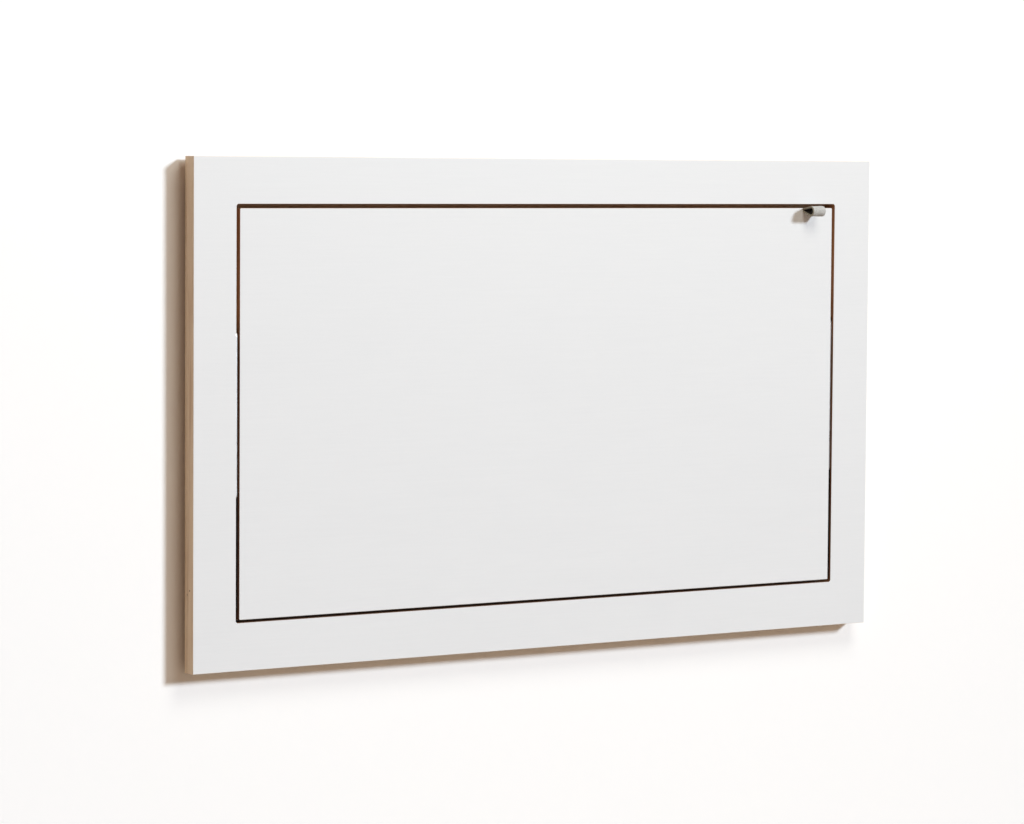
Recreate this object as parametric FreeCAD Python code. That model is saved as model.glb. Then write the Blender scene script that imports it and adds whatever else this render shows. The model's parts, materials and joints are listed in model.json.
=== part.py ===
"""Wall desk: a framed board that stands off the wall, with a tabletop that folds down out of it.

Millimetres. X is to the right, +Y points into the wall and the desk's front faces -Y, Z is up.
The origin lies on the wall, at mid width, at the height of the screws that hold the wall cleat.
The desk is modelled shut: the tabletop fills the frame's opening, flush with its front.
"""

import math
import os

import FreeCAD
import Part

V = FreeCAD.Vector

# Boards
panel_width = 1000.0
panel_height = 600.0
board_thickness = 20.0
wall_stand_off = 8.0
side_rail_width = 57.0
top_rail_width = 55.0
bottom_rail_width = 56.5
side_gap = 4.5
top_gap = 5.0
bottom_gap = 3.5
opening_corner_radius = 3.0
tabletop_corner_radius = 1.5
board_edge_radius = 0.5
cut_overrun = 5.0

# Linkage, with the desk shut: guide pin below, link pivot above it, strut pivot at the top
pin_above_lower_edge = 14.0
pin_to_link_pivot = 132.0
strut_length = 185.0

# Struts
strut_thickness = 2.5
strut_width = 14.0
strut_clearance = 0.4
pivot_radius = 3.0
pivot_clearance = 0.05
head_play = 0.1

# Screws that the struts turn on
strut_head_radius = 6.0
strut_head_thickness = 1.0
strut_thread_radius = 2.5
strut_thread_length = 18.0
hex_across_flats = 3.0
hex_depth = 2.2

# Link pivots, each countersunk into its strut
link_head_radius = 5.0
link_head_depth = 1.6
link_end_clearance = 0.3

# Guide rails, let into the frame's inner sides
rail_width = 14.0
rail_depth = 9.0
rail_end_wall = 1.0
rail_above_strut_pivot = 11.0
groove_width = 9.0
groove_depth = 7.0
rail_screw_margin = 34.0
rail_screw_length = 22.0

# Slide blocks, which carry the guide pins in the rails
block_length = 12.0
block_side_clearance = 0.1
block_end_clearance = 0.3
block_floor_clearance = 0.3
block_mouth_clearance = 0.2

# Brackets, let into the tabletop's side edges, and their pins
bracket_thickness = 3.0
bracket_width = 12.0
bracket_proud = 1.0
bracket_screw_count = 3
bracket_screw_length = 24.0
bracket_screw_margin = 26.0
pin_in_board = 14.0
pin_floor_clearance = 0.3

# Countersunk wood screws
wood_screw_radius = 2.0
wood_screw_head_radius = 3.9
wood_screw_head_depth = 1.9
cross_width = 0.9
cross_length = 4.2
cross_depth = 1.3

# Cleats: a pair of interlocking rails between the frame's back and the wall
cleat_from_tabletop_side = 138.5
cleat_thickness = 2.4
cleat_play = 0.2
cleat_below_top = 4.0
frame_cleat_height = 19.0
frame_lip_length = 12.0
wall_lip_clearance = 1.0
wall_cleat_height = 19.0
wall_screw_above_edge = 8.0
wall_hole_radius = 2.5
wall_hole_end_margin = 20.0
wall_hole_inner_spacing = 190.0
cleat_screw_count = 4
cleat_screw_margin = 30.0
cleat_screw_length = 16.0

# Buffers, which keep the frame's lower corners off the wall
buffer_radius = 11.0
buffer_edge_radius = 1.5
buffer_screw_sink = 3.0
buffer_screw_length = 18.0

# Stop strip across the opening, behind the tabletop's top edge
strip_thickness = 3.0
strip_beside_opening = 24.0
strip_overlap = 16.0
strip_above_opening = 4.0
strip_end_above_opening = 30.0
strip_to_cleat = 8.0
strip_corner_radius = 3.0
strip_screw_margin = 14.0
strip_screw_above_opening = 18.0
strip_screw_length = 14.0

# Magnets in the tabletop's back, and the steel keepers that they meet in the stop strip
magnet_from_tabletop_side = 88.5
magnet_radius = 5.0
magnet_thickness = 3.0
magnet_below_top_edge = 8.5
keeper_radius = 6.0
keeper_thickness = 1.2
disc_clearance = 0.1

# Pull loop, a felt strap folded over and held in a notch in the tabletop's top edge
loop_from_tabletop_side = 37.5
loop_width = 20.0
loop_thickness = 2.5
loop_reach = 22.5
loop_radius = 5.5
loop_droop = 1.3
loop_tail_length = 19.0
loop_side_clearance = 0.3
loop_top_clearance = 0.1
loop_screw_length = 24.0

# Planes and heights that follow from the sizes above
wall_plane = 0.0
back_plane = wall_plane - wall_stand_off
front_plane = back_plane - board_thickness
middle_plane = back_plane - board_thickness / 2

frame_cleat_top = panel_height - cleat_below_top
frame_cleat_bottom = frame_cleat_top - frame_cleat_height
wall_web_top = frame_cleat_bottom - frame_lip_length
wall_cleat_bottom = wall_web_top - wall_cleat_height
wall_screw_height = wall_cleat_bottom + wall_screw_above_edge
panel_bottom = -wall_screw_height
panel_top = panel_bottom + panel_height

opening_half_width = panel_width / 2 - side_rail_width
opening_bottom = panel_bottom + bottom_rail_width
opening_top = panel_top - top_rail_width
tabletop_half_width = opening_half_width - side_gap
tabletop_bottom = opening_bottom + bottom_gap
tabletop_top = opening_top - top_gap

magnet_place = tabletop_half_width - magnet_from_tabletop_side
loop_place = tabletop_half_width - loop_from_tabletop_side
cleat_length = 2 * (tabletop_half_width - cleat_from_tabletop_side)
wall_hole_outer_spacing = cleat_length - 2 * wall_hole_end_margin
strip_half_length = opening_half_width + strip_beside_opening
strip_end_start = cleat_length / 2 + strip_to_cleat

pin_height = tabletop_bottom + pin_above_lower_edge
link_height = pin_height + pin_to_link_pivot
strut_height = link_height + strut_length
open_pin_height = strut_height - math.sqrt(strut_length**2 - pin_to_link_pivot**2)
pin_travel = open_pin_height - pin_height
strut_swing = math.degrees(math.asin(pin_to_link_pivot / strut_length))

groove_bottom = pin_height - block_length / 2 - block_end_clearance
groove_top = open_pin_height + block_length / 2 + block_end_clearance
rail_bottom = groove_bottom - rail_width / 2 - rail_end_wall
rail_top = strut_height + rail_above_strut_pivot

strut_inner = strut_clearance
strut_outer = strut_inner + strut_thickness
bracket_face = side_gap - bracket_proud
bracket_back = bracket_face + bracket_thickness


def across(side, start, end):
    """The low and high X of a stretch measured from the frame's inner side towards the middle."""
    ends = (side * (opening_half_width - start), side * (opening_half_width - end))
    return min(ends), max(ends)


def at(side, inward):
    """The X of a place measured from the frame's inner side towards the middle."""
    return side * (opening_half_width - inward)


def block(x, y, z):
    """A box between the low and high values of each axis."""
    return Part.makeBox(x[1] - x[0], y[1] - y[0], z[1] - z[0], V(x[0], y[0], z[0]))


def rod(radius, start, direction, length):
    """A cylinder from a point along a direction."""
    return Part.makeCylinder(radius, length, start, direction)


def round_bar(x, width, low, high):
    """A flat bar on the boards' middle plane, with round ends at the given heights."""
    half = width / 2
    bar = block(x, (middle_plane - half, middle_plane + half), (low + half, high - half))
    for height in (low + half, high - half):
        end = rod(half, V(x[0], middle_plane, height), V(1, 0, 0), x[1] - x[0])
        bar = bar.fuse(end)
    return bar.removeSplitter()


def upright_edges(shape, radius):
    """Rounds the edges of a board that run along Y."""
    edges = [e for e in shape.Edges if abs(e.tangentAt(e.FirstParameter).y) > 1 - 1e-6]
    return shape.makeFillet(radius, edges)


def face_edges(shape, radius):
    """Rounds every edge around a board's front and back."""
    planes = (front_plane, back_plane)
    edges = []
    for e in shape.Edges:
        box = e.BoundBox
        if any(abs(box.YMin - p) < 1e-6 and abs(box.YMax - p) < 1e-6 for p in planes):
            edges.append(e)
    return shape.makeFillet(radius, edges)


def wood_screw(place, direction, length, sink=0.0):
    """A countersunk screw with its head's flat face at a place, or sunk below it."""
    start = place + direction * sink
    head = Part.makeCone(
        wood_screw_head_radius, wood_screw_radius, wood_screw_head_depth, start, direction
    )
    shank_start = start + direction * wood_screw_head_depth
    shank = rod(wood_screw_radius, shank_start, direction, length - wood_screw_head_depth)
    return head.fuse(shank).removeSplitter()


def cross_recess(place, direction):
    """The cross in a wood screw's head, cut from its flat face."""
    along = FreeCAD.Rotation(V(0, 0, 1), direction)
    arms = []
    for size in ((cross_length, cross_width), (cross_width, cross_length)):
        arm = Part.makeBox(size[0], size[1], cross_depth, V(-size[0] / 2, -size[1] / 2, 0))
        arms.append(arm)
    cross = arms[0].fuse(arms[1])
    cross.Placement = FreeCAD.Placement(place, along)
    return cross


def finished_screws(places, direction, length, sink=0.0):
    """The screws of one node, each with its cross."""
    screws = []
    for place in places:
        screw = wood_screw(place, direction, length, sink)
        screws.append(screw.cut(cross_recess(place + direction * sink, direction)))
    return Part.makeCompound(screws)


def cut_by_screws(shape, places, direction, length, sink=0.0):
    """Cuts the holes of some screws, open from their heads to the face that they start in."""
    for place in places:
        shape = shape.cut(wood_screw(place, direction, length, sink))
        if sink:
            shape = shape.cut(rod(wood_screw_head_radius, place, direction, sink))
    return shape


def rail_screw_places(side):
    """Two screws in a guide rail's groove and one in its solid upper end, heads flush."""
    in_groove = at(side, -groove_depth)
    upper = (groove_top + strut_height) / 2
    return [
        V(in_groove, middle_plane, groove_bottom + rail_screw_margin),
        V(in_groove, middle_plane, groove_top - rail_screw_margin),
        V(at(side, 0), middle_plane, upper),
    ]


def bracket_screw_places(side):
    """Screws spaced evenly along a bracket, between its pin and its link pivot."""
    low = pin_height + bracket_screw_margin
    high = link_height - bracket_screw_margin
    step = (high - low) / (bracket_screw_count - 1)
    x = at(side, bracket_face)
    return [V(x, middle_plane, low + i * step) for i in range(bracket_screw_count)]


def cleat_screw_places():
    """Screws spaced evenly along the frame's cleat."""
    low = -cleat_length / 2 + cleat_screw_margin
    step = (cleat_length - 2 * cleat_screw_margin) / (cleat_screw_count - 1)
    height = panel_bottom + (frame_cleat_top + frame_cleat_bottom + cleat_thickness) / 2
    face = back_plane + cleat_thickness
    return [V(low + i * step, face, height) for i in range(cleat_screw_count)]


def strip_screw_places(side):
    """Two screws in one raised end of the stop strip."""
    face = back_plane + strip_thickness
    height = opening_top + strip_screw_above_opening
    inner = strip_end_start + strip_screw_margin
    outer = strip_half_length - strip_screw_margin
    return [V(side * x, face, height) for x in (inner, outer)]


def buffer_place(side):
    """The middle of a buffer's wall face, at the crossing of the side and bottom rails."""
    x = side * (panel_width / 2 - side_rail_width / 2)
    return V(x, wall_plane, panel_bottom + bottom_rail_width / 2)


def loop_screw_place():
    """The top of the screw that holds the pull loop's tails."""
    return V(loop_place, middle_plane, tabletop_top - loop_top_clearance)


def outward(side):
    """From the tabletop into the frame."""
    return V(side, 0, 0)


def rail_outline(side):
    """The space that a guide rail takes in the frame."""
    return round_bar(across(side, -rail_depth, 0), rail_width, rail_bottom, rail_top)


def bracket_outline(side):
    """A bracket without its holes."""
    reach = bracket_width / 2
    low = pin_height - reach
    high = link_height + reach
    return round_bar(across(side, bracket_face, bracket_back), bracket_width, low, high)


def guide_pin(side):
    """The pin that is pressed through a bracket and reaches into the rail's groove."""
    outer = -groove_depth + pin_floor_clearance
    inner = side_gap + pin_in_board
    start = V(at(side, inner), middle_plane, pin_height)
    return rod(pivot_radius, start, outward(side), inner - outer)


def strut_thread(side):
    """The threaded part of a strut screw, which goes through the rail into the frame."""
    start = V(at(side, 0), middle_plane, strut_height)
    return rod(strut_thread_radius, start, outward(side), strut_thread_length)


def magnet_face(side):
    """Where a magnet and its keeper meet, on the plane of the boards' backs."""
    return V(side * magnet_place, back_plane, tabletop_top - magnet_below_top_edge)


def magnet(side):
    """A round magnet let into the tabletop's back, flush with it."""
    return rod(magnet_radius, magnet_face(side), V(0, -1, 0), magnet_thickness)


def keeper(side):
    """A steel disc let into the stop strip's front, flush with it."""
    return rod(keeper_radius, magnet_face(side), V(0, 1, 0), keeper_thickness)


def loop_notch():
    """The notch in the tabletop's top edge that holds the pull loop's tails."""
    half = loop_width / 2 + loop_side_clearance
    depth = 2 * loop_thickness + loop_top_clearance
    return block(
        (loop_place - half, loop_place + half),
        (front_plane - cut_overrun, back_plane + cut_overrun),
        (tabletop_top - depth, tabletop_top + cut_overrun),
    )


def make_frame_panel():
    panel = block(
        (-panel_width / 2, panel_width / 2),
        (front_plane, back_plane),
        (panel_bottom, panel_top),
    )
    opening = block(
        (-opening_half_width, opening_half_width),
        (front_plane - cut_overrun, back_plane + cut_overrun),
        (opening_bottom, opening_top),
    )
    panel = panel.cut(upright_edges(opening, opening_corner_radius))
    panel = face_edges(panel, board_edge_radius)
    for side in (-1, 1):
        panel = panel.cut(rail_outline(side))
        panel = panel.cut(strut_thread(side))
        panel = cut_by_screws(panel, rail_screw_places(side), outward(side), rail_screw_length)
        panel = cut_by_screws(panel, strip_screw_places(side), V(0, -1, 0), strip_screw_length)
        place = [buffer_place(side)]
        panel = cut_by_screws(panel, place, V(0, -1, 0), buffer_screw_length, buffer_screw_sink)
    return cut_by_screws(panel, cleat_screw_places(), V(0, -1, 0), cleat_screw_length)


def make_guide_rail(side):
    half = groove_width / 2
    groove = block(
        across(side, -groove_depth, cut_overrun),
        (middle_plane - half, middle_plane + half),
        (groove_bottom, groove_top),
    )
    rail = rail_outline(side).cut(groove).cut(strut_thread(side))
    return cut_by_screws(rail, rail_screw_places(side), outward(side), rail_screw_length)


def make_strut_screw(side):
    shoulder_length = strut_outer + head_play
    shoulder = rod(
        pivot_radius,
        V(at(side, shoulder_length), middle_plane, strut_height),
        outward(side),
        shoulder_length,
    )
    head_face = V(at(side, shoulder_length + strut_head_thickness), middle_plane, strut_height)
    head = rod(strut_head_radius, head_face, outward(side), strut_head_thickness)
    corner = hex_across_flats / math.sqrt(3)
    points = []
    for i in range(7):
        angle = math.radians(60 * i)
        points.append(head_face + V(0, corner * math.cos(angle), corner * math.sin(angle)))
    socket = Part.Face(Part.makePolygon(points)).extrude(outward(side) * hex_depth)
    return head.fuse(shoulder).fuse(strut_thread(side)).removeSplitter().cut(socket)


def link_pivot_outline(side):
    """The link pivot: countersunk on the frame's side, and just short of the bracket."""
    start = V(at(side, strut_inner), middle_plane, link_height)
    direction = outward(side) * -1
    head = Part.makeCone(link_head_radius, pivot_radius, link_head_depth, start, direction)
    length = bracket_face - link_end_clearance - strut_inner
    return head.fuse(rod(pivot_radius, start, direction, length)).removeSplitter()


def make_strut_bar(side):
    half = strut_width / 2
    low = link_height - half
    high = strut_height + half
    bar = round_bar(across(side, strut_inner, strut_outer), strut_width, low, high)
    eye = rod(
        pivot_radius + pivot_clearance,
        V(at(side, strut_outer + cut_overrun), middle_plane, strut_height),
        outward(side),
        strut_thickness + 2 * cut_overrun,
    )
    return bar.cut(eye).cut(link_pivot_outline(side))


def make_link_pivot(side):
    face = V(at(side, strut_inner), middle_plane, link_height)
    return link_pivot_outline(side).cut(cross_recess(face, outward(side) * -1))


def make_slide_block(side):
    half = groove_width / 2 - block_side_clearance
    body = block(
        across(side, -groove_depth + block_floor_clearance, -block_mouth_clearance),
        (middle_plane - half, middle_plane + half),
        (pin_height - block_length / 2, pin_height + block_length / 2),
    )
    bore = rod(
        pivot_radius + pivot_clearance,
        V(at(side, cut_overrun), middle_plane, pin_height),
        outward(side),
        groove_depth + 2 * cut_overrun,
    )
    return body.cut(bore)


def make_tabletop_board():
    board = block(
        (-tabletop_half_width, tabletop_half_width),
        (front_plane, back_plane),
        (tabletop_bottom, tabletop_top),
    )
    board = face_edges(upright_edges(board, tabletop_corner_radius), board_edge_radius)
    for side in (-1, 1):
        board = board.cut(bracket_outline(side)).cut(guide_pin(side))
        places = bracket_screw_places(side)
        board = cut_by_screws(board, places, outward(side) * -1, bracket_screw_length)
        pocket_radius = magnet_radius + disc_clearance
        board = board.cut(rod(pocket_radius, magnet_face(side), V(0, -1, 0), magnet_thickness))
    board = board.cut(loop_notch())
    return cut_by_screws(board, [loop_screw_place()], V(0, 0, -1), loop_screw_length)


def make_bracket(side):
    bracket = bracket_outline(side).cut(guide_pin(side))
    places = bracket_screw_places(side)
    return cut_by_screws(bracket, places, outward(side) * -1, bracket_screw_length)


def make_pull_loop():
    """A teardrop of felt whose two tails lie on each other in the notch."""
    tail_top = tabletop_top - loop_top_clearance
    tail_middle = tail_top - loop_thickness
    centre = V(0, front_plane - loop_reach + loop_radius + loop_thickness / 2, tail_middle - loop_droop)
    pinch = V(0, front_plane, tail_middle)

    def teardrop(radius, tip):
        """The outline round a circle with two tangents that meet at a tip."""
        distance = math.hypot(tip.y - centre.y, tip.z - centre.z)
        lean = math.atan2(tip.z - centre.z, tip.y - centre.y)
        spread = math.acos(radius / distance)
        upper = V(0, radius * math.cos(lean + spread), radius * math.sin(lean + spread))
        lower = V(0, radius * math.cos(lean - spread), radius * math.sin(lean - spread))
        front = V(0, -radius * math.cos(lean), -radius * math.sin(lean))
        arc = Part.Arc(centre + upper, centre + front, centre + lower).toShape()
        sides = [Part.LineSegment(tip, centre + upper).toShape()]
        sides.append(arc)
        sides.append(Part.LineSegment(centre + lower, tip).toShape())
        return Part.Face(Part.Wire(sides))

    inward = V(0, loop_thickness, 0)
    outer = teardrop(loop_radius + loop_thickness / 2, pinch + inward * 2)
    inner = teardrop(loop_radius - loop_thickness / 2, pinch - inward)
    ring = outer.extrude(V(loop_width, 0, 0)).cut(inner.extrude(V(loop_width, 0, 0)))
    ring.translate(V(loop_place - loop_width / 2, 0, 0))
    notch_side = block(
        (loop_place - loop_width / 2, loop_place + loop_width / 2),
        (front_plane, back_plane),
        (tail_top - 4 * loop_thickness, tail_top + loop_thickness),
    )
    tails = block(
        (loop_place - loop_width / 2, loop_place + loop_width / 2),
        (front_plane - loop_thickness / 2, front_plane + loop_tail_length),
        (tail_top - 2 * loop_thickness, tail_top),
    )
    loop = ring.cut(notch_side).fuse(tails).removeSplitter()
    return cut_by_screws(loop, [loop_screw_place()], V(0, 0, -1), loop_screw_length)


def make_stop_strip():
    """A strip across the opening, with raised ends that are screwed to the frame's back."""
    low = tabletop_top - strip_overlap
    middle_top = opening_top + strip_above_opening
    end_top = opening_top + strip_end_above_opening
    half_outline = [
        (strip_half_length, low),
        (strip_half_length, end_top),
        (strip_end_start, end_top),
        (strip_end_start, middle_top),
    ]
    outline = half_outline + [(-x, height) for x, height in reversed(half_outline)]
    points = [V(x, back_plane, height) for x, height in outline]
    points.append(points[0])
    strip = Part.Face(Part.makePolygon(points)).extrude(V(0, strip_thickness, 0))
    strip = upright_edges(strip, strip_corner_radius)
    pocket_radius = keeper_radius + disc_clearance
    for side in (-1, 1):
        strip = strip.cut(rod(pocket_radius, magnet_face(side), V(0, 1, 0), keeper_thickness))
        strip = cut_by_screws(strip, strip_screw_places(side), V(0, -1, 0), strip_screw_length)
    return strip


def cleat_prism(outline):
    """A rail of the cleats' length from its section's corners, given as (Y, height) pairs."""
    points = [V(-cleat_length / 2, y, panel_bottom + height) for y, height in outline]
    points.append(points[0])
    return Part.Face(Part.makePolygon(points)).extrude(V(cleat_length, 0, 0))


def make_frame_cleat():
    lip_back = wall_plane - cleat_thickness - cleat_play
    lip_front = lip_back - cleat_thickness
    base_face = back_plane + cleat_thickness
    web_top = frame_cleat_bottom + cleat_thickness
    cleat = cleat_prism(
        [
            (back_plane, frame_cleat_top),
            (base_face, frame_cleat_top),
            (base_face, web_top),
            (lip_back, web_top),
            (lip_back, wall_web_top),
            (lip_front, wall_web_top),
            (lip_front, frame_cleat_bottom),
            (back_plane, frame_cleat_bottom),
        ]
    )
    return cut_by_screws(cleat, cleat_screw_places(), V(0, -1, 0), cleat_screw_length)


def make_wall_cleat():
    base_face = wall_plane - cleat_thickness
    lip_front = back_plane + cleat_play
    lip_back = lip_front + cleat_thickness
    lip_top = frame_cleat_bottom - wall_lip_clearance
    web_bottom = wall_web_top - cleat_thickness
    cleat = cleat_prism(
        [
            (wall_plane, wall_cleat_bottom),
            (base_face, wall_cleat_bottom),
            (base_face, web_bottom),
            (lip_front, web_bottom),
            (lip_front, lip_top),
            (lip_back, lip_top),
            (lip_back, wall_web_top),
            (wall_plane, wall_web_top),
        ]
    )
    for spacing in (wall_hole_outer_spacing, wall_hole_inner_spacing):
        for x in (-spacing / 2, spacing / 2):
            start = V(x, wall_plane + cut_overrun, 0)
            cleat = cleat.cut(
                rod(wall_hole_radius, start, V(0, -1, 0), cleat_thickness + 2 * cut_overrun)
            )
    return cleat


def make_buffer(side):
    place = buffer_place(side)
    start = V(place.x, back_plane, place.z)
    buffer = rod(buffer_radius, start, V(0, 1, 0), wall_stand_off)
    rim = [e for e in buffer.Edges if abs(e.BoundBox.YMin - wall_plane) < 1e-6]
    buffer = buffer.makeFillet(buffer_edge_radius, rim)
    return cut_by_screws(buffer, [place], V(0, -1, 0), buffer_screw_length, buffer_screw_sink)


def make_parts():
    parts = {
        "frame_panel": make_frame_panel(),
        "frame_cleat": make_frame_cleat(),
        "frame_cleat_screws": finished_screws(
            cleat_screw_places(), V(0, -1, 0), cleat_screw_length
        ),
        "wall_cleat": make_wall_cleat(),
        "buffer_screws": finished_screws(
            [buffer_place(-1), buffer_place(1)],
            V(0, -1, 0),
            buffer_screw_length,
            buffer_screw_sink,
        ),
        "stop_strip": make_stop_strip(),
        "stop_strip_screws": finished_screws(
            strip_screw_places(-1) + strip_screw_places(1), V(0, -1, 0), strip_screw_length
        ),
        "tabletop_board": make_tabletop_board(),
        "pull_loop": make_pull_loop(),
        "pull_loop_screw": finished_screws(
            [loop_screw_place()], V(0, 0, -1), loop_screw_length
        ),
    }
    for side, name in ((-1, "left"), (1, "right")):
        parts[name + "_buffer"] = make_buffer(side)
        parts[name + "_guide_rail"] = make_guide_rail(side)
        parts[name + "_rail_screws"] = finished_screws(
            rail_screw_places(side), outward(side), rail_screw_length
        )
        parts[name + "_strut_screw"] = make_strut_screw(side)
        parts[name + "_strut_bar"] = make_strut_bar(side)
        parts[name + "_link_pivot"] = make_link_pivot(side)
        parts[name + "_slide_block"] = make_slide_block(side)
        parts[name + "_guide_pin"] = guide_pin(side)
        parts[name + "_bracket"] = make_bracket(side)
        parts[name + "_bracket_screws"] = finished_screws(
            bracket_screw_places(side), outward(side) * -1, bracket_screw_length
        )
        parts[name + "_magnet"] = magnet(side)
        parts[name + "_keeper"] = keeper(side)
    return parts


os.makedirs("parts", exist_ok=True)
for node, shape in make_parts().items():
    shape.exportStep("parts/" + node + ".step")
    print(node, len(shape.Solids), round(shape.Volume, 1), shape.isValid())
print("pin height", pin_height, "travel", pin_travel)
print("strut pivot height", strut_height, "swing", strut_swing)
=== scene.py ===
"""Looks for the fold down wall desk: materials, the pull loop, the room, lights and camera.

Metres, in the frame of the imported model: X to the right, +Y into the wall, Z up.
"""

import json
import math

import bmesh
import bpy
from mathutils import Matrix, Vector, noise


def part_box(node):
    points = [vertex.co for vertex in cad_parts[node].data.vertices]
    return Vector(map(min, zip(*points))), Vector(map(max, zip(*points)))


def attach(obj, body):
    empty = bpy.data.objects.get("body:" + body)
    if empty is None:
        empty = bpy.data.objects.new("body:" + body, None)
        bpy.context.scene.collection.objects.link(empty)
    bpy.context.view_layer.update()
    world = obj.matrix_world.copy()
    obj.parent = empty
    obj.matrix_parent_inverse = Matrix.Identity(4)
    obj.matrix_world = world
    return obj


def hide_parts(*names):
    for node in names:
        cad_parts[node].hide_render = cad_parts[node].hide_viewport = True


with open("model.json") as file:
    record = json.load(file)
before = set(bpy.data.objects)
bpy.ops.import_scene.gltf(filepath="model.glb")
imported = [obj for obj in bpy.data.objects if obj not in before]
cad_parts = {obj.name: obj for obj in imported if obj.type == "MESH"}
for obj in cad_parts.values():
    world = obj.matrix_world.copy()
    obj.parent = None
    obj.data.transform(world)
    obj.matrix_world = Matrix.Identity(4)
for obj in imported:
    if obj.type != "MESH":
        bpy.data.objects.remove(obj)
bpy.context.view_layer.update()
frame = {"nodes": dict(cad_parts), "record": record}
nodes = frame["nodes"]

PANEL_LOW, PANEL_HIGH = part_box("frame_panel")
BOARD_THICKNESS = PANEL_HIGH.y - PANEL_LOW.y

# The camera, fitted to the corners of the panel, its opening and the tabletop
CAMERA_PLACE = Vector((-2.65503, -3.87520, 0.03557))
CAMERA_YAW = math.radians(34.038)
CAMERA_PITCH = math.radians(3.669)
CAMERA_ROLL = math.radians(0.396)
FOCAL_PIXELS = 3816.66
IMAGE_WIDTH = 1024
SENSOR_WIDTH = 36.0
CLIP_START = 0.05
CLIP_END = 60.0

# The room. A seen colour is for camera, glossy and transmission rays, the other for bounced light
FLOOR_HEIGHT = -1.03
ROOM_HALF_WIDTH = 6.0
WALL_HEIGHT = 4.0
WALL_COLOUR = (0.93, 0.92, 0.905)
WALL_SEEN_COLOUR = (1.0, 0.995, 0.99)
FLOOR_COLOUR = (0.42, 0.33, 0.25)
FLOOR_SEEN_COLOUR = (0.86, 0.85, 0.83)

# The light: a soft even key from the upper right, a softbox above, an even fill, and two
# lamps for the back. They come from below and the right, so that none shines through a gap
FILL_COLOUR = (0.208, 0.128, 0.080)
KEY_DIRECTION = Vector((0.82, -1.0, 0.51))
KEY_ANGLE = math.radians(10.5)
KEY_COLOUR = (0.80, 0.905, 1.0)
KEY_POWER = 3.03
TOP_PLACE = Vector((0.2, -1.6, 1.6))
TOP_TARGET = Vector((0.1, 0.0, -0.2))
TOP_SIZE = 1.2
TOP_COLOUR = (1.0, 1.0, 0.92)
TOP_POWER = 20.8
BACK_PLACES = ((1.9, 2.2, -1.5), (1.5, 2.6, -1.3))
BACK_SIZE = 1.6
BACK_POWERS = (75.0, 45.0)
BACK_COLOUR = (1.0, 1.0, 1.0)

# Plywood: the number of veneers, and the share of a normal along Y that makes a surface a face
BOARD_VENEERS = 13.0
STRIP_VENEERS = 3.0
FACE_SHARE = (0.72, 0.86)
WOOD_RELIEF = 0.00006
WOOD_RELIEF_STRENGTH = 0.8

# The edges along the gap: where the frame's begin, and two tints that paint shade on them, the
# second only on their lower part. Both tints are guesses
INNER_SIDE = (0.465, 0.475)
INNER_TOP = (0.010, 0.020)
INNER_BOTTOM = (-0.525, -0.515)
GAP_SHADE_TINT = (0.64, 0.475, 0.38)
LOW_GAP_SHADE_TINT = (0.46, 0.40, 0.37)
LOW_GAP_SHADE_END = (-0.20, -0.12)
LOW_GAP_SHADE_WANDER = 0.08

# Two small knots low on the left edge: y, z and radius
KNOTS = ((-0.020, -0.457, 0.0016), (-0.0142, -0.4622, 0.0013))
KNOT_COLOUR = (0.10, 0.055, 0.03)


class Surface:
    """A material and the kinds of node that it is built from."""

    def __init__(self, name, metallic=0.0, specular=0.5):
        self.material = bpy.data.materials.new(name)
        self.material.use_nodes = True
        self.tree = self.material.node_tree
        self.shader = self.tree.nodes["Principled BSDF"]
        self.shader.inputs["Metallic"].default_value = metallic
        self.shader.inputs["Specular IOR Level"].default_value = specular
        places = self.node("TexCoord")
        self.place = places.outputs["Object"]
        self.normal = places.outputs["Normal"]

    def put(self, socket, value):
        if isinstance(value, bpy.types.NodeSocket):
            self.tree.links.new(value, socket)
        else:
            socket.default_value = value

    def node(self, kind, inputs=None, **settings):
        node = self.tree.nodes.new("ShaderNode" + kind)
        for key, value in settings.items():
            setattr(node, key, value)
        for key, value in (inputs or {}).items():
            self.put(node.inputs[key], value)
        return node

    def math(self, operation, *values):
        inputs = dict(enumerate(values))
        return self.node("Math", inputs, operation=operation).outputs[0]

    def stretched(self, x, y, z):
        """The object's coordinates, scaled along each axis, for grain that runs one way."""
        inputs = {0: self.place, 1: (x, y, z)}
        return self.node("VectorMath", inputs, operation="MULTIPLY").outputs[0]

    def noise(self, vector, scale, detail=3.0, roughness=0.5, distortion=0.0):
        inputs = {
            "Vector": vector,
            "Scale": scale,
            "Detail": detail,
            "Roughness": roughness,
            "Distortion": distortion,
        }
        return self.node("TexNoise", inputs).outputs["Fac"]

    def between(self, value, low, high, to_low=0.0, to_high=1.0):
        inputs = {0: value, 1: low, 2: high, 3: to_low, 4: to_high}
        return self.node("MapRange", inputs, interpolation_type="SMOOTHSTEP").outputs[0]

    def mix(self, factor, a, b, blend="MIX"):
        inputs = {0: factor, 6: a, 7: b}
        node = self.node("Mix", inputs, data_type="RGBA", blend_type=blend, clamp_factor=True)
        return node.outputs[2]

    def mix_number(self, factor, a, b):
        return self.node("Mix", {0: factor, 2: a, 3: b}, data_type="FLOAT").outputs[0]

    def bump(self, height, distance, strength=1.0):
        inputs = {"Height": height, "Distance": distance, "Strength": strength}
        return self.node("Bump", inputs).outputs["Normal"]

    def finish(self, colour=None, roughness=None, normal=None):
        for name, value in (("Base Color", colour), ("Roughness", roughness), ("Normal", normal)):
            if value is not None:
                self.put(self.shader.inputs[name], value)
        return self.material


def rgb(red, green, blue):
    return (red, green, blue, 1.0)


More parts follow.
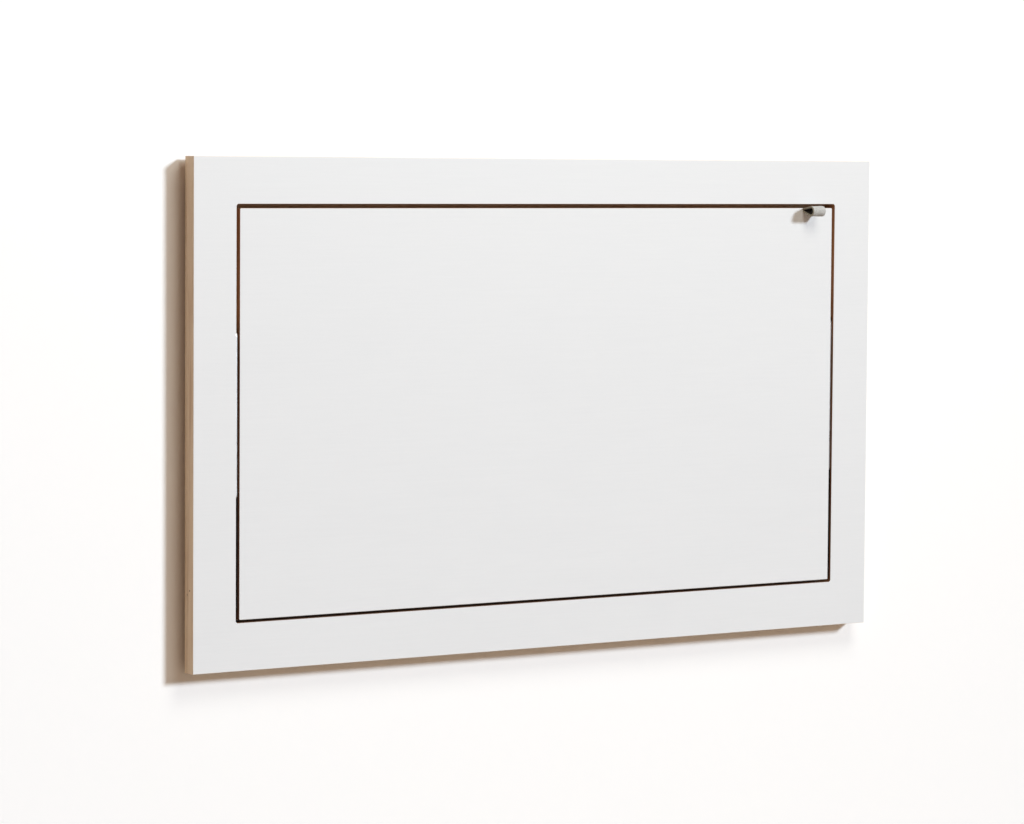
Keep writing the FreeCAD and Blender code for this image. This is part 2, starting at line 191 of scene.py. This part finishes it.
def layered_edge(s, front, thickness, layers):
    """Plywood's edge: veneers along Y, with their grain along X and along Z by turns."""
    parts = s.node("SeparateXYZ", {0: s.normal})
    axes = s.node("SeparateXYZ", {0: s.place})
    x_share = s.math("ABSOLUTE", parts.outputs["X"])
    z_share = s.math("ABSOLUTE", parts.outputs["Z"])
    wander = s.noise(s.stretched(9.0, 40.0, 9.0), 1.0, 2.0)
    depth = s.math("SUBTRACT", axes.outputs["Y"], front)
    level = s.math("MULTIPLY", depth, layers / thickness)
    level = s.math("MULTIPLY_ADD", s.math("SUBTRACT", wander, 0.5), 0.35, level)
    along_x = s.math("LESS_THAN", s.math("FLOORED_MODULO", level, 2.0), 1.0)
    faces_x = s.math("GREATER_THAN", x_share, z_share)
    end_grain = s.math("COMPARE", along_x, faces_x, 0.5)
    streaks_z = s.noise(s.stretched(500.0, 900.0, 14.0), 1.0, 4.0, 0.6)
    streaks_x = s.noise(s.stretched(14.0, 900.0, 500.0), 1.0, 4.0, 0.6)
    streaks = s.mix_number(faces_x, streaks_x, streaks_z)
    dots = s.noise(s.stretched(1500.0, 1500.0, 1500.0), 1.0, 3.0, 0.6)
    long_wood = s.mix(streaks, rgb(0.75, 0.555, 0.375), rgb(0.90, 0.745, 0.56))
    end_wood = s.mix(dots, rgb(0.61, 0.42, 0.26), rgb(0.83, 0.65, 0.46))
    wood = s.mix(end_grain, long_wood, end_wood)
    patch = s.noise(s.stretched(7.0, 230.0, 7.0), 1.0, 2.0, 0.6)
    wood = s.mix(s.between(patch, 0.5, 0.72, 0.0, 0.7), wood, rgb(0.53, 0.345, 0.21))
    in_layer = s.math("FRACT", level)
    to_seam = s.math("ABSOLUTE", s.math("SUBTRACT", in_layer, 0.5))
    wood = s.mix(s.between(to_seam, 0.40, 0.5, 0.0, 0.45), wood, rgb(0.33, 0.20, 0.12))
    return wood, s.math("ADD", streaks, dots), s.between(dots, 0.3, 0.7, 0.62, 0.78)


def veneer(s, dark, light):
    """Rotary-cut birch: broad wavering flames along X, with fine dark pores."""
    flames = s.noise(s.stretched(1.1, 3.0, 13.0), 2.6, 4.0, 0.55, 1.6)
    bands = s.math("SINE", s.math("MULTIPLY", flames, 52.0))
    bands = s.between(bands, -1.0, 1.0)
    pores = s.noise(s.stretched(45.0, 900.0, 1400.0), 1.0, 3.0, 0.6)
    cloud = s.noise(s.stretched(1.5, 3.0, 5.0), 1.6, 3.0, 0.5)
    wood = s.mix(bands, rgb(*dark), rgb(*light))
    wood = s.mix(s.between(cloud, 0.3, 0.7, 0.0, 0.5), wood, rgb(*(c * 0.97 for c in dark)))
    wood = s.mix(s.between(pores, 0.55, 0.72, 0.0, 0.35), wood, rgb(*(c * 0.6 for c in dark)))
    return wood, s.math("MULTIPLY_ADD", bands, 0.2, s.math("MULTIPLY", pores, -0.9))


def white_board(name, bare_back):
    """White satin lacquer on birch plywood with bare edges. The frame's back is bare too."""
    s = Surface(name)
    parts = s.node("SeparateXYZ", {0: s.normal})
    y_share = s.math("ABSOLUTE", parts.outputs["Y"])
    is_face = s.between(y_share, *FACE_SHARE)

    # Lacquer: the veneer's grain runs along X and only just shows through
    grain = s.noise(s.stretched(1.2, 20.0, 42.0), 9.0, 6.0, 0.6, 0.4)
    cloud = s.noise(s.stretched(0.8, 1.0, 2.4), 5.0, 3.0, 0.5, 0.6)
    pores = s.noise(s.stretched(30.0, 400.0, 900.0), 1.0, 2.0, 0.6)
    tone = s.math("MULTIPLY_ADD", s.math("SUBTRACT", grain, 0.5), 0.5, 0.5)
    tone = s.math("MULTIPLY_ADD", s.math("SUBTRACT", cloud, 0.5), 0.5, tone)
    tone = s.math("MULTIPLY_ADD", s.math("SUBTRACT", pores, 0.5), 0.25, tone)
    face = s.mix(tone, rgb(0.72, 0.72, 0.723), rgb(0.78, 0.78, 0.782))
    marks = s.noise(s.stretched(7.0, 20.0, 18.0), 6.0, 2.0, 0.5, 1.2)
    face = s.mix(s.between(marks, 0.69, 0.78, 0.0, 0.22), face, rgb(0.775, 0.735, 0.735))
    relief = s.math("MULTIPLY_ADD", pores, 0.25, s.math("MULTIPLY", grain, 0.45))
    face_roughness = s.between(cloud, 0.3, 0.7, 0.50, 0.60)
    if bare_back:
        is_back = s.math("GREATER_THAN", parts.outputs["Y"], 0.0)
        wood, wood_relief = veneer(s, (0.55, 0.345, 0.19), (0.65, 0.44, 0.26))
        face = s.mix(is_back, face, wood)
        relief = s.mix_number(is_back, relief, wood_relief)
        face_roughness = s.mix_number(is_back, face_roughness, 0.68)

    edge, edge_relief, edge_roughness = layered_edge(
        s, PANEL_LOW.y, BOARD_THICKNESS, BOARD_VENEERS
    )

    # Painted shade: the edges along the gap are darkened as if in the gap's shade, and darker still
    # on their lower part, beside and below the fittings. On a board without the bare back every
    # edge is darkened so
    axes = s.node("SeparateXYZ", {0: s.place})
    wander = s.math("SUBTRACT", cloud, 0.5)
    uneven_z = s.math("MULTIPLY_ADD", wander, LOW_GAP_SHADE_WANDER, axes.outputs["Z"])
    painted_low_shade = s.between(uneven_z, *LOW_GAP_SHADE_END, 1.0, 0.0)
    if bare_back:
        beside = s.between(s.math("ABSOLUTE", axes.outputs["X"]), *INNER_SIDE, 1.0, 0.0)
        below = s.between(axes.outputs["Z"], *INNER_TOP, 1.0, 0.0)
        above = s.between(axes.outputs["Z"], *INNER_BOTTOM)
        inner = s.math("MULTIPLY", beside, s.math("MULTIPLY", below, above))
        painted_low_shade = s.math("MULTIPLY", inner, painted_low_shade)
    else:
        inner = 1.0
    # Two tints of painted shade: one on the edges along the gap, one on their lower part
    edge = s.mix(inner, edge, rgb(*GAP_SHADE_TINT), "MULTIPLY")
    edge = s.mix(painted_low_shade, edge, rgb(*LOW_GAP_SHADE_TINT), "MULTIPLY")

    for y, z, radius in KNOTS:
        place = (PANEL_LOW.x, y, z)
        far = s.node("VectorMath", {0: s.place, 1: place}, operation="DISTANCE").outputs["Value"]
        knot = s.between(far, radius * 0.3, radius, 0.85, 0.0)
        edge = s.mix(knot, edge, rgb(*KNOT_COLOUR))

    colour = s.mix(is_face, edge, face)
    roughness = s.mix_number(is_face, edge_roughness, face_roughness)
    height = s.mix_number(is_face, edge_relief, relief)
    return s.finish(colour, roughness, s.bump(height, WOOD_RELIEF, WOOD_RELIEF_STRENGTH))


def bare_plywood():
    """The stop strip: three veneers, oiled."""
    s = Surface("bare_plywood")
    low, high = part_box("stop_strip")
    parts = s.node("SeparateXYZ", {0: s.normal})
    is_face = s.between(s.math("ABSOLUTE", parts.outputs["Y"]), *FACE_SHARE)
    edge, edge_relief, edge_roughness = layered_edge(
        s, low.y, high.y - low.y, STRIP_VENEERS
    )
    face, relief = veneer(s, (0.66, 0.47, 0.30), (0.75, 0.56, 0.375))
    colour = s.mix(is_face, edge, face)
    height = s.mix_number(is_face, edge_relief, relief)
    roughness = s.mix_number(is_face, edge_roughness, 0.6)
    return s.finish(colour, roughness, s.bump(height, WOOD_RELIEF, WOOD_RELIEF_STRENGTH))


def powder_coat(name, colour, roughness):
    """Fine pebbled matt paint on steel."""
    s = Surface(name)
    pebble = s.noise(s.place, 2600.0, 2.0, 0.5)
    cloud = s.noise(s.place, 60.0, 3.0, 0.5)
    tint = s.mix(cloud, rgb(*(c * 0.8 for c in colour)), rgb(*(c * 1.3 for c in colour)))
    rough = s.between(cloud, 0.3, 0.7, roughness - 0.05, roughness + 0.06)
    return s.finish(tint, rough, s.bump(pebble, 0.00004, 0.7))


def black_oxide():
    """Blackened steel with a little bare metal showing."""
    s = Surface("black_screw", 0.75)
    cloud = s.noise(s.place, 420.0, 4.0, 0.6)
    fine = s.noise(s.place, 3200.0, 2.0, 0.5)
    tint = s.mix(s.between(cloud, 0.45, 0.8), rgb(0.028, 0.027, 0.026), rgb(0.11, 0.105, 0.10))
    rough = s.between(cloud, 0.25, 0.75, 0.28, 0.46)
    return s.finish(tint, rough, s.bump(fine, 0.00002, 0.5))


def zinc(name, light, dark, streak):
    """Bright zinc plate over drawn steel, with fine streaks along the piece."""
    s = Surface(name, 1.0)
    lines = s.noise(s.stretched(*streak), 1.0, 4.0, 0.6)
    cloud = s.noise(s.place, 90.0, 4.0, 0.6, 0.8)
    blend = s.math("MULTIPLY_ADD", cloud, 0.6, s.math("MULTIPLY", lines, 0.4))
    tint = s.mix(blend, rgb(*dark), rgb(*light))
    rough = s.between(blend, 0.3, 0.7, 0.26, 0.44)
    return s.finish(tint, rough, s.bump(lines, 0.00002, 0.5))


def turned_steel(name, colour):
    """Turned and polished, with faint rings round the pin's own axis, which is X."""
    s = Surface(name, 1.0)
    rings = s.noise(s.stretched(5200.0, 6.0, 6.0), 1.0, 2.0, 0.5)
    cloud = s.noise(s.place, 200.0, 3.0, 0.5)
    tint = s.mix(cloud, rgb(*(c * 0.86 for c in colour)), rgb(*colour))
    rough = s.between(rings, 0.3, 0.7, 0.12, 0.26)
    return s.finish(tint, rough, s.bump(rings, 0.00001, 0.4))


def extruded_aluminium():
    """The cleats: mill finish, with die lines along X."""
    s = Surface("aluminium_rail", 1.0)
    lines = s.noise(s.stretched(3.0, 1300.0, 1300.0), 1.0, 4.0, 0.6)
    cloud = s.noise(s.place, 70.0, 3.0, 0.6)
    tint = s.mix(lines, rgb(0.56, 0.57, 0.58), rgb(0.74, 0.75, 0.76))
    rough = s.between(cloud, 0.3, 0.7, 0.30, 0.44)
    return s.finish(tint, rough, s.bump(lines, 0.00002, 0.6))


def nylon():
    """Machined nylon, milky and slightly translucent."""
    s = Surface("white_nylon", 0.0, 0.45)
    mill = s.noise(s.stretched(200.0, 200.0, 2600.0), 1.0, 2.0, 0.5)
    cloud = s.noise(s.place, 160.0, 3.0, 0.5)
    tint = s.mix(cloud, rgb(0.76, 0.745, 0.70), rgb(0.86, 0.85, 0.81))
    s.shader.inputs["Subsurface Weight"].default_value = 0.2
    s.shader.inputs["Subsurface Scale"].default_value = 0.001
    rough = s.between(mill, 0.3, 0.7, 0.38, 0.52)
    return s.finish(tint, rough, s.bump(mill, 0.00002, 0.5))


def rubber():
    """Moulded rubber with a dusty bloom."""
    s = Surface("black_rubber", 0.0, 0.35)
    grain = s.noise(s.place, 1500.0, 3.0, 0.6)
    dust = s.noise(s.place, 240.0, 4.0, 0.6)
    tint = s.mix(s.between(dust, 0.4, 0.8), rgb(0.028, 0.028, 0.029), rgb(0.075, 0.073, 0.07))
    rough = s.between(dust, 0.3, 0.7, 0.62, 0.8)
    return s.finish(tint, rough, s.bump(grain, 0.00006, 0.6))


def felt(name, dark, light, tuft):
    """Pressed wool: a mat of fine fibres in several tones, with a soft nap."""
    s = Surface(name, 0.0, 0.15)
    warp = s.noise(s.place, 500.0, 2.0, 0.5)
    fibres_a = s.noise(s.stretched(900.0, 5200.0, 5200.0), 1.0, 3.0, 0.65, 2.2)
    fibres_b = s.noise(s.stretched(5200.0, 1100.0, 1100.0), 1.0, 3.0, 0.65, 2.2)
    clumps = s.noise(s.place, 260.0, 4.0, 0.6, 0.8)
    mat = s.math("MULTIPLY_ADD", fibres_a, 0.5, s.math("MULTIPLY", fibres_b, 0.5))
    mat = s.math("MULTIPLY_ADD", s.math("SUBTRACT", warp, 0.5), 0.4, mat)
    tint = s.mix(s.between(mat, 0.28, 0.72), rgb(*dark), rgb(*light))
    tint = s.mix(s.between(clumps, 0.35, 0.75, 0.0, 0.4), tint, rgb(*tuft))
    s.shader.inputs["Sheen Weight"].default_value = 0.15
    s.shader.inputs["Sheen Roughness"].default_value = 0.6
    rough = s.between(clumps, 0.3, 0.7, 0.88, 0.98)
    height = s.math("MULTIPLY_ADD", clumps, 1.4, mat)
    return s.finish(tint, rough, s.bump(height, 0.00022, 0.9))


FELT = felt("grey_felt", (0.32, 0.31, 0.29), (0.63, 0.62, 0.595), (0.47, 0.46, 0.435))
# Painted shade: the strap's cut edges are darker and olive, for the shade along the loop's rim
FELT_EDGE_SHADE = felt("felt_cut_edge_shade", (0.20, 0.18, 0.13), (0.42, 0.39, 0.30), (0.31, 0.285, 0.21))
# Painted shade: the strap's inner side is nearly black, for the shade inside the loop's hollow
FELT_INNER_SHADE = felt("felt_inner_shade", (0.02, 0.017, 0.014), (0.055, 0.048, 0.04), (0.03, 0.026, 0.022))

# One finish for each slot of the record
FINISHES = {
    "white_board": white_board("white_board", False),
    "bare_plywood": bare_plywood(),
    "black_steel": powder_coat("black_steel", (0.020, 0.020, 0.0205), 0.50),
    "black_screw": black_oxide(),
    "zinc_plate": zinc("zinc_plate", (0.78, 0.79, 0.80), (0.60, 0.61, 0.63), (700.0, 900.0, 9.0)),
    "zinc_screw": zinc("zinc_screw", (0.72, 0.73, 0.74), (0.56, 0.57, 0.58), (600.0, 600.0, 600.0)),
    "polished_steel": turned_steel("polished_steel", (0.72, 0.72, 0.74)),
    "nickel_magnet": turned_steel("nickel_magnet", (0.76, 0.75, 0.71)),
    "aluminium_rail": extruded_aluminium(),
    "white_nylon": nylon(),
    "black_rubber": rubber(),
    "grey_felt": FELT,
}
FRAME_BOARD = white_board("white_board_bare_back", True)


def dress_nodes():
    """Gives each CAD node the finish of its slot in the record."""
    for part in frame["record"]["subparts"]:
        finish = FINISHES[part["material_slot"]]
        if part["node"] == "frame_panel":
            finish = FRAME_BOARD
        for slot in nodes[part["node"]].material_slots:
            slot.material = finish


# The pull loop: one strap of felt, folded over, with both tails in the notch
FELT_THICKNESS = 0.00245
FELT_WIDTH = 0.020
FELT_EDGE = 0.0007
FELT_STEP = 0.0007
TAILS_HEIGHT = 0.005
LOOP_MIDDLE = (-0.04375, -0.0179)
LOOP_RADIUS = 0.0054
LOOP_ANGLES = (78, 104, 130, 156, 182, 208, 236, 262, 292)
# Points of a tail: one this far from its inner end, two this far behind the board's face
TAIL_FROM_END = 0.006
TAIL_FROM_FACE = (0.005, 0.0005)
CURVE_STEPS = 40
SECTION_ACROSS = 16
SECTION_CORNER = 4
# The felt's surface: scale and height of its nap, coarse and fine, and of its slow swell. It
# fades out over this distance in front of the board
NAP_FADE = 0.004
NAP_COARSE = (420.0, 0.00012)
NAP_FINE = (1300.0, 0.00005)
SWELL = (90.0, 0.00022)
SWELL_OFFSET = Vector((3.0, 7.0, 1.0))
NAP_SINK = 0.00012
# The hole for the screw
SCREW_CLEARANCE = 0.0002
SCREW_SHANK_RADIUS = 0.002
SCREW_HEAD_DEPTH = 0.0019
HOLE_OVERRUN = 0.003
HOLE_SIDES = 40


def loop_route():
    """The strap's centreline in the YZ plane, from the upper tail's end round to the lower one."""
    inner_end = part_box("pull_loop")[1].y
    tails_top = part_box("pull_loop_screw")[1].z
    front = PANEL_LOW.y
    half = FELT_THICKNESS / 2
    upper = tails_top - half
    lower = tails_top - TAILS_HEIGHT + half
    tail = [inner_end, inner_end - TAIL_FROM_END]
    tail += [front + distance for distance in TAIL_FROM_FACE]
    points = [(y, upper) for y in tail]
    for angle in LOOP_ANGLES:
        turn = math.radians(angle)
        y = LOOP_MIDDLE[0] + LOOP_RADIUS * math.cos(turn)
        points.append((y, LOOP_MIDDLE[1] + LOOP_RADIUS * math.sin(turn)))
    points += [(y, lower) for y in reversed(tail)]
    return points


def smooth_route(points, step):
    """A Catmull-Rom curve through the points, sampled at an even step."""
    dense = []
    padded = [points[0], *points, points[-1]]
    for a, b, c, d in zip(padded, padded[1:], padded[2:], padded[3:]):
        a, b, c, d = (Vector(p) for p in (a, b, c, d))
        for i in range(CURVE_STEPS):
            t = i / CURVE_STEPS
            dense.append(
                0.5
                * (
                    2 * b
                    + (c - a) * t
                    + (2 * a - 5 * b + 4 * c - d) * t * t
                    + (3 * b - a - 3 * c + d) * t**3
                )
            )
    dense.append(Vector(points[-1]))
    lengths = [0.0]
    for a, b in zip(dense, dense[1:]):
        lengths.append(lengths[-1] + (b - a).length)
    count = round(lengths[-1] / step)
    samples = []
    i = 0
    for k in range(count + 1):
        want = lengths[-1] * k / count
        while i < len(dense) - 2 and lengths[i + 1] < want:
            i += 1
        span = max(lengths[i + 1] - lengths[i], 1e-12)
        samples.append(dense[i].lerp(dense[i + 1], (want - lengths[i]) / span))
    return samples, lengths[-1]


def strap_section():
    """The strap's cross section as (across, up) pairs: a flat rectangle with softened edges."""
    half_width, half = FELT_WIDTH / 2, FELT_THICKNESS / 2
    points = []
    corners = (
        (half_width - FELT_EDGE, half - FELT_EDGE, 90),
        (-half_width + FELT_EDGE, half - FELT_EDGE, 180),
        (-half_width + FELT_EDGE, -half + FELT_EDGE, 270),
        (half_width - FELT_EDGE, -half + FELT_EDGE, 0),
    )
    for n, (x, y, end) in enumerate(corners):
        for k in range(SECTION_CORNER + 1):
            angle = math.radians(end - 90 + 90 * k / SECTION_CORNER)
            points.append((x + FELT_EDGE * math.cos(angle), y + FELT_EDGE * math.sin(angle)))
        if n in (0, 2):
            last = points[-1]
            target = -last[0]
            for k in range(1, SECTION_ACROSS):
                points.append((last[0] + (target - last[0]) * k / SECTION_ACROSS, last[1]))
    return points


def strap_side(start, end):
    """Which material a stretch of the section takes: 0 outside, 1 inner side, 2 cut edge. The last
    two carry painted shade.
    """
    across = abs(start[0] + end[0]) / 2
    up = (start[1] + end[1]) / 2
    if across > FELT_WIDTH / 2 - FELT_EDGE / 2:
        return 2
    return 0 if up > 0 else 1


def make_pull_loop():
    """Sweeps the strap's section along its route and roughens it a little."""
    low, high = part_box("pull_loop")
    middle_x = (low.x + high.x) / 2
    route, length = smooth_route(loop_route(), FELT_STEP)
    section = strap_section()
    mesh = bmesh.new()
    rings = []
    for i, point in enumerate(route):
        before, after = route[max(i - 1, 0)], route[min(i + 1, len(route) - 1)]
        tangent = (after - before).normalized()
        side = Vector((tangent.y, -tangent.x))
        ring = []
        for across, up in section:
            place = Vector((middle_x + across, point.x + side.x * up, point.y + side.y * up))
            ring.append(mesh.verts.new(place))
        rings.append(ring)
    size = len(section)
    for a, b in zip(rings, rings[1:]):
        for k in range(size):
            face = mesh.faces.new((a[k], a[(k + 1) % size], b[(k + 1) % size], b[k]))
            face.material_index = strap_side(section[k], section[(k + 1) % size])
    mesh.faces.new(list(reversed(rings[0])))
    mesh.faces.new(rings[-1])
    bmesh.ops.recalc_face_normals(mesh, faces=mesh.faces)
    mesh.normal_update()
    front = PANEL_LOW.y
    for vertex in mesh.verts:
        free = min(1.0, max(0.0, (front - vertex.co.y) / NAP_FADE))
        rough = noise.noise(vertex.co * NAP_COARSE[0]) * NAP_COARSE[1]
        rough += noise.noise(vertex.co * NAP_FINE[0]) * NAP_FINE[1]
        swell = noise.noise(vertex.co * SWELL[0] + SWELL_OFFSET) * SWELL[1]
        vertex.co += vertex.normal * (rough + swell - NAP_SINK) * free
    data = bpy.data.meshes.new("felt_pull_loop")
    mesh.to_mesh(data)
    mesh.free()
    for polygon in data.polygons:
        polygon.use_smooth = True
    piece = bpy.data.objects.new("felt_pull_loop", data)
    bpy.context.scene.collection.objects.link(piece)
    # The inner side and the cut edges take the felts with painted shade
    for material in (FELT, FELT_INNER_SHADE, FELT_EDGE_SHADE):
        piece.data.materials.append(material)
    cut_screw_hole(piece)
    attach(piece, "tabletop")
    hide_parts("pull_loop")
    return piece


def cut_screw_hole(piece):
    """Opens the strap round the screw that holds it."""
    low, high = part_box("pull_loop_screw")
    centre = (low + high) / 2
    head = (high.x - low.x) / 2 + SCREW_CLEARANCE
    shank = SCREW_SHANK_RADIUS + SCREW_CLEARANCE
    outline = (
        (head, high.z + HOLE_OVERRUN),
        (head, high.z),
        (shank, high.z - SCREW_HEAD_DEPTH),
        (shank, high.z - FELT_THICKNESS * 2 - HOLE_OVERRUN),
    )
    mesh = bmesh.new()
    rings = []
    for radius, height in outline:
        ring = []
        for k in range(HOLE_SIDES):
            angle = 2 * math.pi * k / HOLE_SIDES
            x = centre.x + radius * math.cos(angle)
            y = centre.y + radius * math.sin(angle)
            ring.append(mesh.verts.new((x, y, height)))
        rings.append(ring)
    for a, b in zip(rings, rings[1:]):
        for k in range(HOLE_SIDES):
            after = (k + 1) % HOLE_SIDES
            mesh.faces.new((a[k], b[k], b[after], a[after]))
    mesh.faces.new(rings[0])
    mesh.faces.new(list(reversed(rings[-1])))
    bmesh.ops.recalc_face_normals(mesh, faces=mesh.faces)
    data = bpy.data.meshes.new("screw_cutter")
    mesh.to_mesh(data)
    mesh.free()
    cutter = bpy.data.objects.new("screw_cutter", data)
    bpy.context.scene.collection.objects.link(cutter)
    cut = piece.modifiers.new("screw_hole", "BOOLEAN")
    cut.operation = "DIFFERENCE"
    cut.solver = "EXACT"
    cut.object = cutter
    graph = bpy.context.evaluated_depsgraph_get()
    result = bpy.data.meshes.new_from_object(piece.evaluated_get(graph))
    piece.modifiers.clear()
    piece.data = result
    bpy.data.objects.remove(cutter)


def plane(name, corners, colour, seen_colour):
    """A large flat stage surface: pale where it is seen or mirrored, clear from behind.

    The light that it bounces takes the other colour.
    """
    data = bpy.data.meshes.new(name)
    data.from_pydata(corners, [], [(0, 1, 2, 3)])
    data.update()
    piece = bpy.data.objects.new(name, data)
    bpy.context.scene.collection.objects.link(piece)
    s = Surface(name, 0.0, 0.0)
    cloud = s.noise(s.place, 1.5, 3.0)
    tint = s.mix(cloud, rgb(*(c * 0.99 for c in colour)), rgb(*colour))
    s.finish(tint)
    s.shader.inputs["Roughness"].default_value = 1.0
    rays = s.node("LightPath").outputs
    seen = s.math("MAXIMUM", rays["Is Camera Ray"], rays["Is Glossy Ray"])
    seen = s.math("MAXIMUM", seen, rays["Is Transmission Ray"])
    pale = s.node("BsdfDiffuse", {"Color": rgb(*seen_colour)}).outputs[0]
    front = s.node("MixShader", {0: seen, 1: s.shader.outputs[0], 2: pale}).outputs[0]
    away = s.node("NewGeometry").outputs["Backfacing"]
    clear = s.node("BsdfTransparent").outputs[0]
    both = s.node("MixShader", {0: away, 1: front, 2: clear}).outputs[0]
    s.put(s.tree.nodes["Material Output"].inputs["Surface"], both)
    data.materials.append(s.material)


def make_room():
    """A wall behind the desk and a floor well below it."""
    half = ROOM_HALF_WIDTH
    plane(
        "room_wall",
        [
            (-half, 0.0, FLOOR_HEIGHT),
            (half, 0.0, FLOOR_HEIGHT),
            (half, 0.0, FLOOR_HEIGHT + WALL_HEIGHT),
            (-half, 0.0, FLOOR_HEIGHT + WALL_HEIGHT),
        ],
        WALL_COLOUR,
        WALL_SEEN_COLOUR,
    )
    plane(
        "room_floor",
        [
            (-half, -half, FLOOR_HEIGHT),
            (half, -half, FLOOR_HEIGHT),
            (half, half, FLOOR_HEIGHT),
            (-half, half, FLOOR_HEIGHT),
        ],
        FLOOR_COLOUR,
        FLOOR_SEEN_COLOUR,
    )


def area_lamp(name, place, target, size, power, colour):
    data = bpy.data.lights.new(name, "AREA")
    data.shape = "DISK"
    data.size = size
    data.energy = power
    data.color = colour
    lamp = bpy.data.objects.new(name, data)
    lamp.location = place
    lamp.rotation_mode = "QUATERNION"
    lamp.rotation_quaternion = (Vector(target) - Vector(place)).to_track_quat("-Z", "Y")
    lamp.visible_camera = False
    bpy.context.scene.collection.objects.link(lamp)
    return lamp


def make_lights(pieces):
    """A soft key from the upper right, a top softbox and an even fill, with lamps for the back."""
    data = bpy.data.lights.new("key", "SUN")
    data.angle = KEY_ANGLE
    data.energy = KEY_POWER
    data.color = KEY_COLOUR
    key = bpy.data.objects.new("key", data)
    key.rotation_mode = "QUATERNION"
    key.rotation_quaternion = KEY_DIRECTION.to_track_quat("Z", "Y")
    bpy.context.scene.collection.objects.link(key)
    area_lamp("top", TOP_PLACE, TOP_TARGET, TOP_SIZE, TOP_POWER, TOP_COLOUR)

    # The wall hides the desk's back from the room, so the back has lamps that pass the wall.
    # On the tabletop's board they make no highlights, because its open underside would mirror them
    desk = bpy.data.collections.new("desk_pieces")
    board = bpy.data.collections.new("desk_board")
    others = bpy.data.collections.new("desk_others")
    for piece in pieces:
        desk.objects.link(piece)
        lit_by = board if piece == nodes["tabletop_board"] else others
        lit_by.objects.link(piece)
    centre = (PANEL_LOW + PANEL_HIGH) / 2
    for i, (place, power) in enumerate(zip(BACK_PLACES, BACK_POWERS)):
        for lit, highlights in ((others, True), (board, False)):
            name = f"back_{i}_{lit.name}"
            lamp = area_lamp(name, place, centre, BACK_SIZE, power, BACK_COLOUR)
            lamp.light_linking.receiver_collection = lit
            lamp.light_linking.blocker_collection = desk
            lamp.visible_glossy = highlights
            lamp.data.cycles.max_bounces = 0

    world = bpy.data.worlds.new("studio")
    bpy.context.scene.world = world
    world.use_nodes = True
    tree = world.node_tree
    fill = tree.nodes["Background"]
    fill.inputs["Color"].default_value = rgb(*FILL_COLOUR)
    seen = tree.nodes.new("ShaderNodeBackground")
    seen.inputs["Color"].default_value = rgb(1.0, 1.0, 1.0)
    rays = tree.nodes.new("ShaderNodeLightPath")
    either = tree.nodes.new("ShaderNodeMath")
    either.operation = "MAXIMUM"
    tree.links.new(rays.outputs["Is Camera Ray"], either.inputs[0])
    tree.links.new(rays.outputs["Is Glossy Ray"], either.inputs[1])
    clear = tree.nodes.new("ShaderNodeMath")
    clear.operation = "MAXIMUM"
    tree.links.new(either.outputs[0], clear.inputs[0])
    tree.links.new(rays.outputs["Is Transmission Ray"], clear.inputs[1])
    mix = tree.nodes.new("ShaderNodeMixShader")
    tree.links.new(clear.outputs[0], mix.inputs[0])
    tree.links.new(fill.outputs[0], mix.inputs[1])
    tree.links.new(seen.outputs[0], mix.inputs[2])
    tree.links.new(mix.outputs[0], tree.nodes["World Output"].inputs["Surface"])


def make_camera():
    ahead = Vector(
        (
            math.sin(CAMERA_YAW) * math.cos(CAMERA_PITCH),
            math.cos(CAMERA_YAW) * math.cos(CAMERA_PITCH),
            -math.sin(CAMERA_PITCH),
        )
    )
    level = Vector((math.cos(CAMERA_YAW), -math.sin(CAMERA_YAW), 0.0))
    upright = level.cross(ahead)
    right = math.cos(CAMERA_ROLL) * level + math.sin(CAMERA_ROLL) * upright
    up = -math.sin(CAMERA_ROLL) * level + math.cos(CAMERA_ROLL) * upright
    data = bpy.data.cameras.new("photo_camera")
    data.sensor_width = SENSOR_WIDTH
    data.lens = FOCAL_PIXELS * SENSOR_WIDTH / IMAGE_WIDTH
    data.clip_start = CLIP_START
    data.clip_end = CLIP_END
    camera = bpy.data.objects.new("photo_camera", data)
    bpy.context.scene.collection.objects.link(camera)
    turn = Matrix((right, up, -ahead)).transposed()
    camera.matrix_world = Matrix.Translation(CAMERA_PLACE) @ turn.to_4x4()
    bpy.context.scene.camera = camera


dress_nodes()
pull_loop = make_pull_loop()
make_room()
make_lights([*nodes.values(), pull_loop])
make_camera()
bpy.context.scene.view_settings.view_transform = "Standard"
